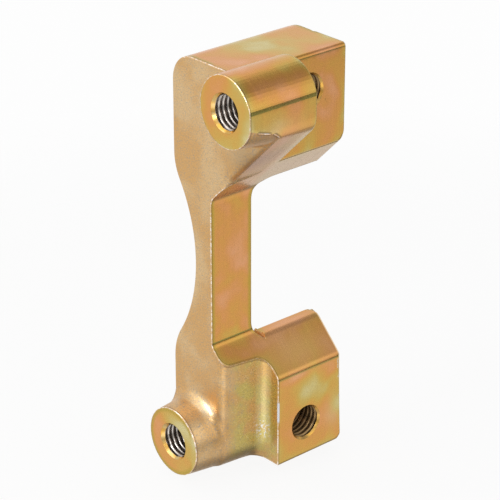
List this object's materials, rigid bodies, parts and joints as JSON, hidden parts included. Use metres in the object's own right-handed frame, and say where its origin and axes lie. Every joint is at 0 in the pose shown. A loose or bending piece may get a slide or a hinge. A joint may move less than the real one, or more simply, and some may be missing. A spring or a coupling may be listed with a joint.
{
  "type": "brake caliper adapter bracket",
  "caption": "Yellow zinc plated cast bracket: a narrow web joins two offset ends, each with a round threaded boss one way and a threaded pad at right angles, with a 45 degree throat.",
  "frame": {"origin": "mouth of the lower pad's threaded hole, in the plane of the two pads", "axes": "+X is the outward normal of the two caliper pads, -Y is the way the two knuckle bosses face, +Z runs from the lower end to the upper end"},
  "size_m": [0.0585, 0.0612, 0.166],
  "materials": {
    "plated_iron": "yellow zinc plate: iridescent and smooth where machined, tan and finely grained where cast"
  },
  "bodies": {
    "root": {"caliper_adapter": "plated_iron"}
  },
  "joints": []
}
